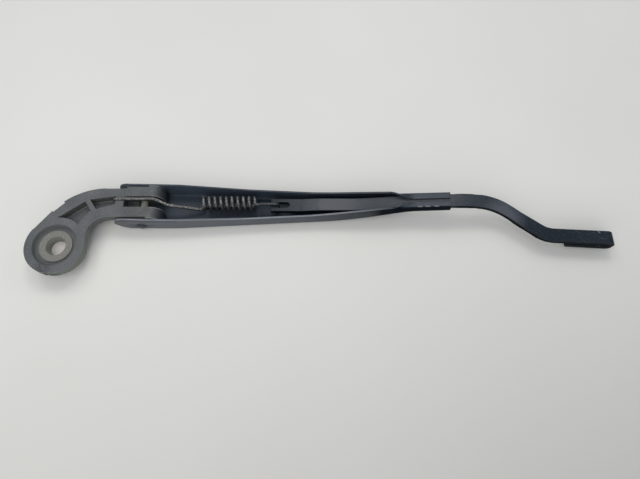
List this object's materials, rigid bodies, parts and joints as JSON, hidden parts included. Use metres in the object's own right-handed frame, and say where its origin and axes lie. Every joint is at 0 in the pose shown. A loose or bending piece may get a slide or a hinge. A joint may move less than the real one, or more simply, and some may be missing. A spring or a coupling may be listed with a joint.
{
  "type": "rear wiper arm",
  "caption": "Rear window wiper arm with a cast spindle head, a hinged pressed channel held down by a tension spring, and a flat rod bent into a hook for the blade.",
  "frame": {"origin": "on the spindle bore's axis, where the bore's cone meets its straight land", "axes": "+Z along the bore out of the side that faces the glass, +X along the arm towards the blade hook, +Y from the bore towards the arm's own middle line; the part lies on its outer side"},
  "size_m": [0.3799, 0.0642, 0.0186],
  "materials": {
    "cast_head": "satin dark grey coating on a die casting",
    "painted_sheet": "satin black paint on pressed steel sheet",
    "painted_bar": "satin black paint on flat steel bar",
    "spring_wire": "dull phosphated spring wire",
    "bare_steel": "plain dull steel"
  },
  "bodies": {
    "head": {"arm_head": "cast_head"},
    "arm": {"arm_channel": "painted_sheet", "blade_rod": "painted_bar", "pivot_rivet": "bare_steel", "tension_spring": "spring_wire"}
  },
  "joints": [
    {"name": "arm_fold", "type": "hinge", "parent": "head", "child": "arm", "pos_m": [0.0507, 0.0305, -0.0042], "axis": [0, 1, 0], "range_deg": [0, 75], "stiffness_Nm_per_rad": 1, "springref_deg": -68.75, "deforming": ["tension_spring"]}
  ]
}
